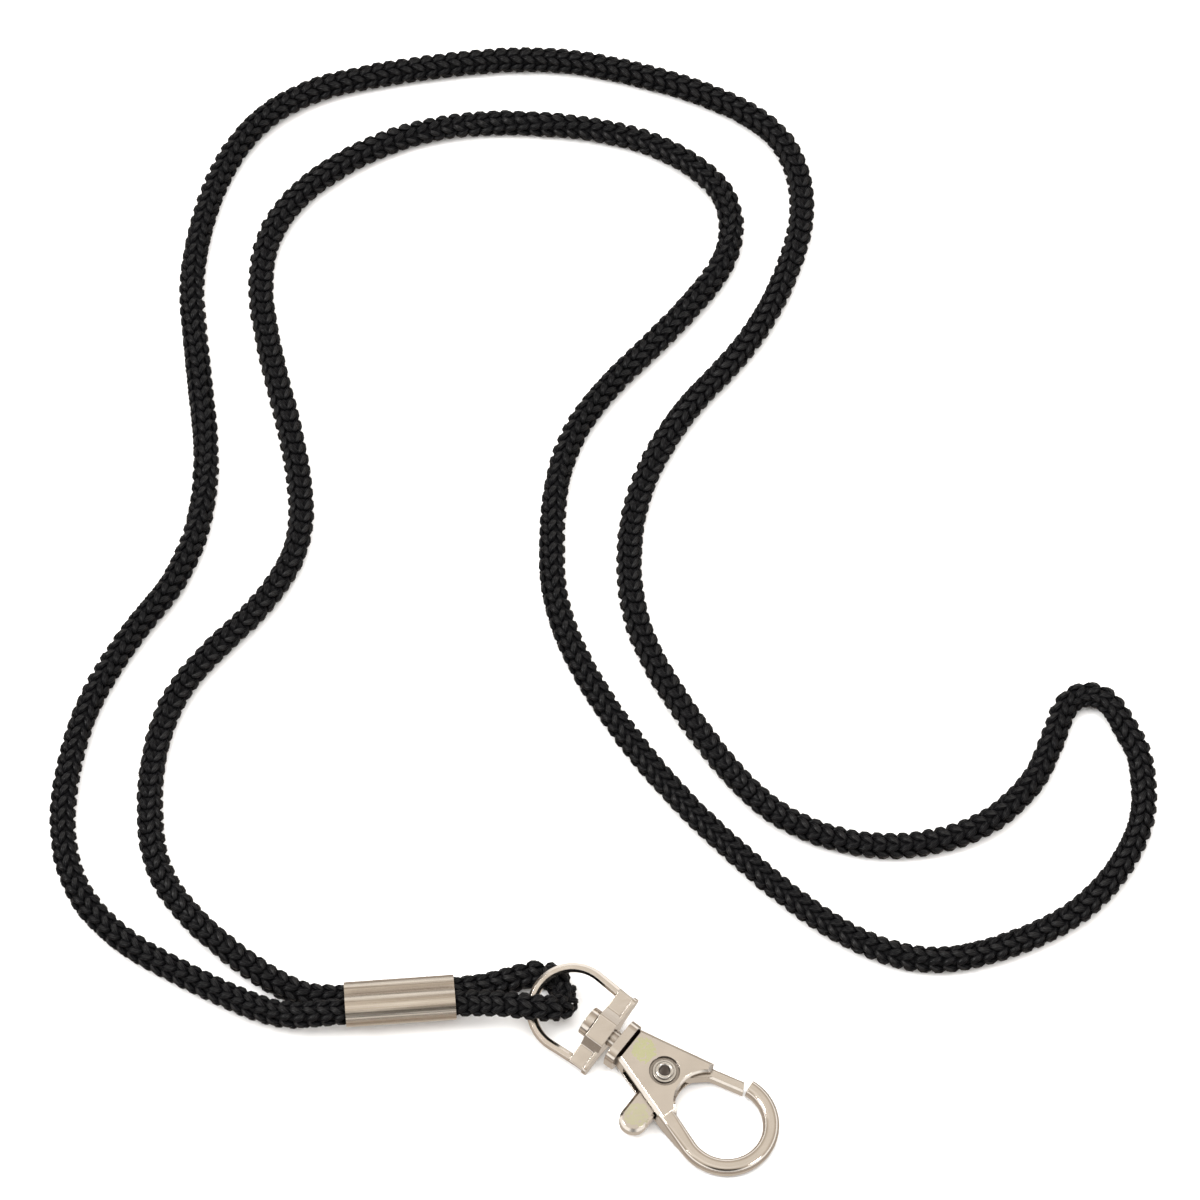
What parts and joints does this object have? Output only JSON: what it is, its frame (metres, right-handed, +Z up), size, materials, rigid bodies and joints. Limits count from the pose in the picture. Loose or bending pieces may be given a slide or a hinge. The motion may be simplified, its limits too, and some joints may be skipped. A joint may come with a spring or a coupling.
{
  "type": "neck lanyard",
  "caption": "Knitted neck lanyard with a crimped ferrule, a swivel ring and a sprung trigger hook, lying in a loose double loop.",
  "frame": {"origin": "below the middle of the ferrule and clasp, on the surface the lanyard lies on", "axes": "+Z up from the surface it lies on, +X along the ferrule towards the clasp"},
  "size_m": [0.1435, 0.1675, 0.0076],
  "materials": {
    "cord_black": "knitted polyester",
    "ferrule_nickel": "brushed lengthwise",
    "clasp_nickel": "bright nickel plate over a die casting",
    "spring_steel": "drawn wire"
  },
  "bodies": {
    "root": {"neck_cord": "cord_black", "eye_loop": "cord_black", "crimped_cord": "cord_black", "ferrule": "ferrule_nickel"},
    "ring": {"swivel_ring": "clasp_nickel"},
    "hook": {"hook_body": "clasp_nickel", "pivot_rivet": "clasp_nickel", "gate_spring": "spring_steel"},
    "gate": {"gate_lever": "clasp_nickel"}
  },
  "joints": [
    {"name": "ring_swing", "type": "hinge", "parent": "root", "child": "ring", "pos_m": [-0.00201, 0.01184, 0.00396], "axis": [-0.6399, -0.6887, -0.3409], "range_deg": [-25, 25]},
    {"name": "hook_swivel", "type": "hinge", "parent": "ring", "child": "hook", "pos_m": [0.0056, 0.00517, 0.00314], "axis": [0.7499, -0.6565, -0.0812], "continuous": true},
    {"name": "gate_hinge", "type": "hinge", "parent": "hook", "child": "gate", "pos_m": [0.01277, -0.0011, 0.00236], "axis": [-0.0611, 0.0535, -0.9967], "range_deg": [0, 28], "stiffness_Nm_per_rad": 0.004, "springref_deg": -20.05, "deforming": ["gate_spring"]}
  ]
}
